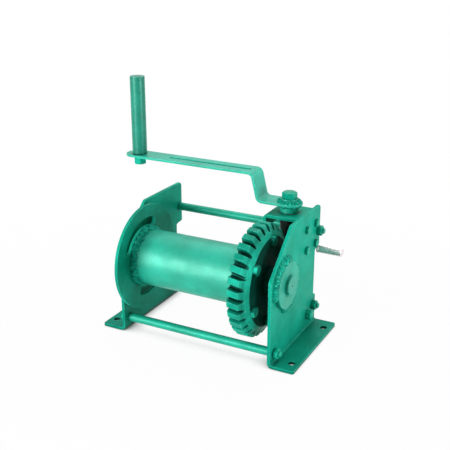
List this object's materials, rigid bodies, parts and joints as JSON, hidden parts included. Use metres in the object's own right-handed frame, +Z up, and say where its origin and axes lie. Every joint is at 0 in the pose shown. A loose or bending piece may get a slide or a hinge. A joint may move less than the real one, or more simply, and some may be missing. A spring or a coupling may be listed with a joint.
{
  "type": "hand winch",
  "caption": "Hand winch: rope drum between two footed side plates, worm wheel on the drum's end, upright worm shaft and a bent crank with a turning grip.",
  "frame": {"origin": "centre of the four foot holes, on the ground", "axes": "+X along the drum towards the worm wheel, +Y to the back, +Z up"},
  "size_m": [0.3405, 0.2003, 0.3423],
  "materials": {
    "paint": "gloss teal green enamel over steel sheet",
    "painted_drum": "gloss teal green enamel over steel tube",
    "painted_gear": "gloss teal green enamel over cast iron",
    "painted_crank": "gloss teal green enamel over bar and tube",
    "painted_weld": "gloss teal green enamel over rough weld",
    "painted_fastener": "teal green enamel over steel fasteners",
    "machined_steel": "greased turned steel",
    "bare_steel": "bright turned steel",
    "bronze": "turned bearing bronze"
  },
  "bodies": {
    "frame": {"left_side_plate": "paint", "right_side_plate": "paint", "tie_rod_top": "paint", "tie_rod_front": "paint", "tie_rod_back": "paint", "tie_rod_nuts": "painted_fastener", "left_bearing_boss": "paint", "right_bearing_boss": "paint", "left_boss_weld": "painted_weld", "right_boss_weld": "painted_weld", "left_bearing_bush": "paint", "right_bearing_bush": "paint", "upper_bracket": "paint", "upper_bush": "bronze", "bracket_bolts": "painted_fastener", "bracket_nuts": "painted_fastener", "lower_bracket": "paint", "lower_bush": "bronze", "lower_bracket_bolt": "painted_fastener", "lower_bracket_nut": "painted_fastener", "side_stud": "bare_steel"},
    "drum": {"drum_tube": "painted_drum", "drum_flange": "paint", "drum_flange_weld": "painted_weld", "flange_collar": "paint", "drum_end_disc": "paint", "drum_end_weld": "painted_weld", "drum_shaft": "paint", "drum_shaft_pin": "bare_steel", "worm_wheel": "painted_gear", "wheel_bolts": "painted_fastener", "wheel_nuts": "painted_fastener"},
    "crank": {"worm": "machined_steel", "worm_shaft": "machined_steel", "worm_pin": "bare_steel", "crank_hub": "paint", "crank_arm": "painted_crank", "crank_weld": "painted_weld", "crank_washer": "painted_fastener", "crank_bolt": "painted_fastener", "grip_spindle": "paint", "spindle_nut": "painted_fastener"},
    "grip": {"grip_sleeve": "painted_crank", "grip_cap": "painted_crank", "grip_screw": "painted_fastener"}
  },
  "joints": [
    {"name": "drum_spin", "type": "hinge", "parent": "frame", "child": "drum", "pos_m": [0, -0.0334, 0.104], "axis": [1, 0, 0], "continuous": true},
    {"name": "crank_spin", "type": "hinge", "parent": "frame", "child": "crank", "pos_m": [0.081, 0.0576, 0.104], "axis": [0, 0, 1], "continuous": true},
    {"name": "grip_spin", "type": "hinge", "parent": "crank", "child": "grip", "pos_m": [-0.166, 0.0576, 0.284], "axis": [0, 0, 1], "continuous": true}
  ],
  "couplings": [
    {"joint": "crank_spin", "follows": "drum_spin", "ratio": -30}
  ]
}
